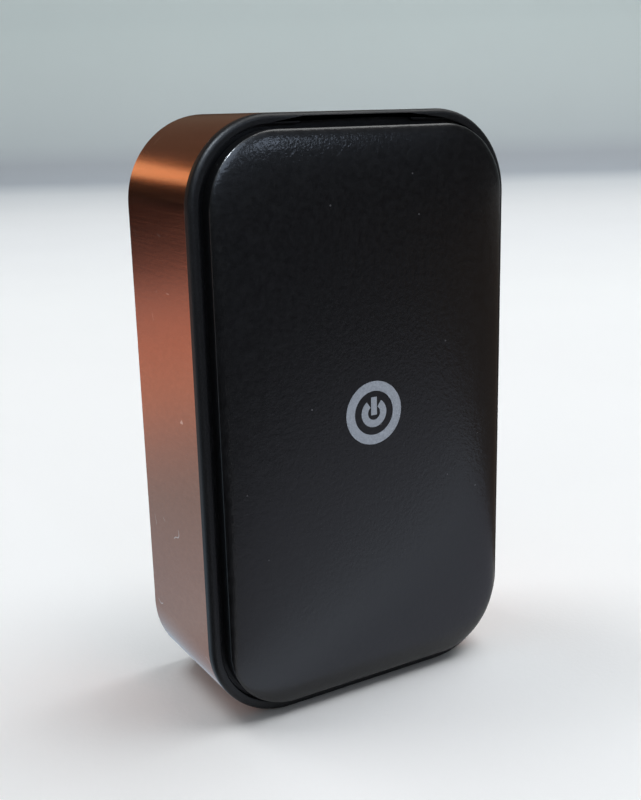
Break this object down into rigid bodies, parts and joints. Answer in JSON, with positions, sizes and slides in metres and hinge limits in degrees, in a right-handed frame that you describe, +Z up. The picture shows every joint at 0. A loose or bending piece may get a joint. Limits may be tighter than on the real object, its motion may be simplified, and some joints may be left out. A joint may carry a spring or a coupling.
{
  "type": "gps tracker",
  "caption": "Small rounded-rectangle GPS tracker: metal sleeve, black frame, crowned black front cover that presses as a power key and tilts off over a SIM card, charging socket below.",
  "frame": {"origin": "middle of the base, on the surface that it stands on", "axes": "+Z up along the long side, front cover faces -Y, +X to the viewer's right when seen from the front"},
  "size_m": [0.0282, 0.0142, 0.047],
  "materials": {
    "anodised_sleeve": "fine brushed, copper-bronze anodised",
    "frame_black": "fine matt",
    "cover_black": "satin, fine leathery grain",
    "rear_black": "fine matt",
    "screw_steel": "plain",
    "board_green": "solder mask",
    "can_tin": "tinned",
    "chip_black": "moulded",
    "passive_tan": "ceramic",
    "patch_ceramic": "fired ceramic",
    "electrode_silver": "fired silver",
    "film_copper": "amber film over copper",
    "contact_gold": "gold plated",
    "socket_black": "moulded",
    "socket_steel": "stamped",
    "card_white": "card",
    "plunger_white": "moulded",
    "key_rubber": "soft",
    "led_clear": "clear",
    "cell_foil": "laminate foil",
    "tape_amber": "amber tape over a board",
    "lead_red": "insulated wire",
    "lead_black": "insulated wire",
    "pad_cream": "foam tape",
    "film_amber": "polyimide film",
    "magnet_nickel": "nickel plated"
  },
  "bodies": {
    "case": {"sleeve": "anodised_sleeve", "front_frame": "frame_black", "rear_cover": "rear_black", "case_screws": "screw_steel", "main_board": "board_green", "shield_can": "can_tin", "processor_chip": "chip_black", "memory_chip": "chip_black", "power_chip": "chip_black", "motion_sensor": "chip_black", "crystal": "can_tin", "board_passives": "passive_tan", "gnss_antenna": "patch_ceramic", "gnss_electrode": "electrode_silver", "cellular_antenna": "film_copper", "antenna_clip": "contact_gold", "sim_socket_base": "socket_black", "sim_socket_shell": "socket_steel", "sim_contacts": "contact_gold", "switch_body": "socket_black", "switch_frame": "socket_steel", "status_leds": "led_clear", "usb_shell": "socket_steel", "usb_tongue": "socket_black", "usb_contacts": "contact_gold", "battery_cell": "cell_foil", "battery_board": "tape_amber", "battery_lead_red": "lead_red", "battery_lead_black": "lead_black", "battery_pad": "pad_cream", "insulation_film": "film_amber", "magnets": "magnet_nickel"},
    "power_key": {"key_pad": "key_rubber", "switch_plunger": "plunger_white"},
    "cover": {"front_cover": "cover_black"},
    "card": {"sim_card": "card_white"}
  },
  "joints": [
    {"name": "power_press", "type": "slide", "parent": "case", "child": "power_key", "axis": [0, 1, 0], "range_m": [0, 0.0003], "stiffness_N_per_m": 700, "springref_m": -0.0005},
    {"name": "cover_tilt", "type": "hinge", "parent": "power_key", "child": "cover", "pos_m": [0, -0.00583, 0.00112], "axis": [1, 0, 0], "range_deg": [0, 60]},
    {"name": "sim_slide", "type": "slide", "parent": "case", "child": "card", "axis": [1, 0, 0], "range_m": [0, 0.0104]}
  ]
}
